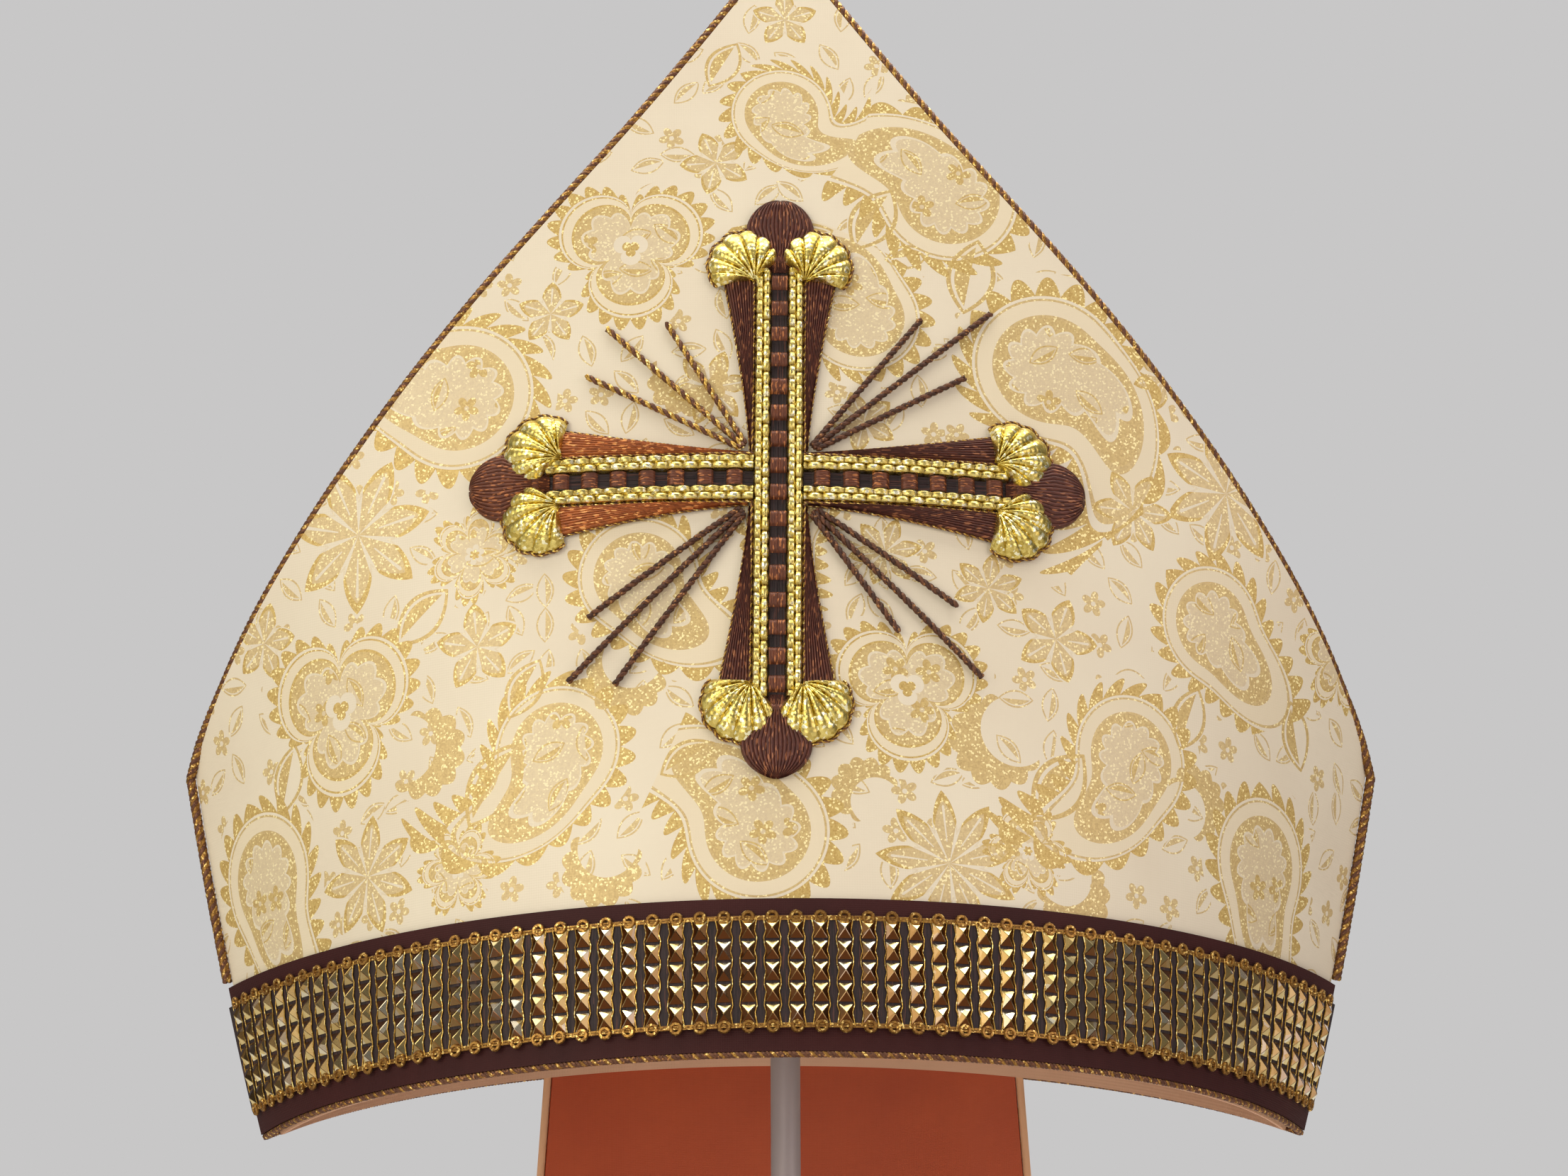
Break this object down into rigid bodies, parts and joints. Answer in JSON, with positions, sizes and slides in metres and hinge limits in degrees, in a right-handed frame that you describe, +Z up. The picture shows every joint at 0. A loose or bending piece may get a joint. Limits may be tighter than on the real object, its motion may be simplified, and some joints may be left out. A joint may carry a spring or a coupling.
{
  "type": "bishop mitre on a stand",
  "caption": "Tall two-horned bishop's mitre of stiff brocade with an embroidered cross, a studded band round the rim and two hanging lappets, on a plain pole stand.",
  "frame": {"origin": "middle of the underside of the stand's foot, straight below the middle of the head opening", "axes": "+Z up, +X to the wearer's left, +Y towards the wearer's back and the lappets"},
  "size_m": [0.2691, 0.2, 0.6532],
  "materials": {
    "brocade": "cream and gold figured brocade, stiffened",
    "orange_satin": "satin",
    "gusset_cloth": "satin",
    "hem_tape": "matt woven tape",
    "ribbon_satin": "dark maroon satin",
    "gold_studs": "bright gold",
    "gold_cord": "twisted gold and brown cord",
    "gold_bullion": "gold bullion embroidery",
    "brown_silk": "satin stitched brown silk",
    "stand_metal": "satin grey"
  },
  "bodies": {
    "root": {"edge_cord_back": "gold_cord", "edge_cord_front": "gold_cord", "flare_bottom_a": "brown_silk", "flare_bottom_b": "brown_silk", "flare_left_a": "brown_silk", "flare_left_b": "brown_silk", "flare_right_a": "brown_silk", "flare_right_b": "brown_silk", "flare_top_a": "brown_silk", "flare_top_b": "brown_silk", "gusset": "gusset_cloth", "hem_tape": "hem_tape", "horn_back": "brocade", "horn_front": "brocade", "knob_bottom": "brown_silk", "knob_left": "brown_silk", "knob_right": "brown_silk", "knob_top": "brown_silk", "ladder_left": "brown_silk", "ladder_right": "brown_silk", "ladder_upright": "brown_silk", "lappet_left": "brocade", "lappet_lining_left": "orange_satin", "lappet_lining_right": "orange_satin", "lappet_right": "brocade", "rail_left_a": "gold_bullion", "rail_left_b": "gold_bullion", "rail_right_a": "gold_bullion", "rail_right_b": "gold_bullion", "rail_upright_a": "gold_bullion", "rail_upright_b": "gold_bullion", "ray_ne_inner": "brown_silk", "ray_ne_middle": "brown_silk", "ray_ne_outer": "brown_silk", "ray_nw_inner": "brown_silk", "ray_nw_middle": "brown_silk", "ray_nw_outer": "brown_silk", "ray_se_inner": "brown_silk", "ray_se_middle": "brown_silk", "ray_se_outer": "brown_silk", "ray_sw_inner": "brown_silk", "ray_sw_middle": "brown_silk", "ray_sw_outer": "brown_silk", "ribbon": "ribbon_satin", "rim_cord_back": "gold_cord", "rim_cord_front": "gold_cord", "scroll_bottom_a": "gold_bullion", "scroll_bottom_b": "gold_bullion", "scroll_left_a": "gold_bullion", "scroll_left_b": "gold_bullion", "scroll_right_a": "gold_bullion", "scroll_right_b": "gold_bullion", "scroll_top_a": "gold_bullion", "scroll_top_b": "gold_bullion", "stand_foot": "stand_metal", "stand_pad": "stand_metal", "stand_pole": "stand_metal", "stud_braid": "gold_studs"}
  },
  "joints": []
}
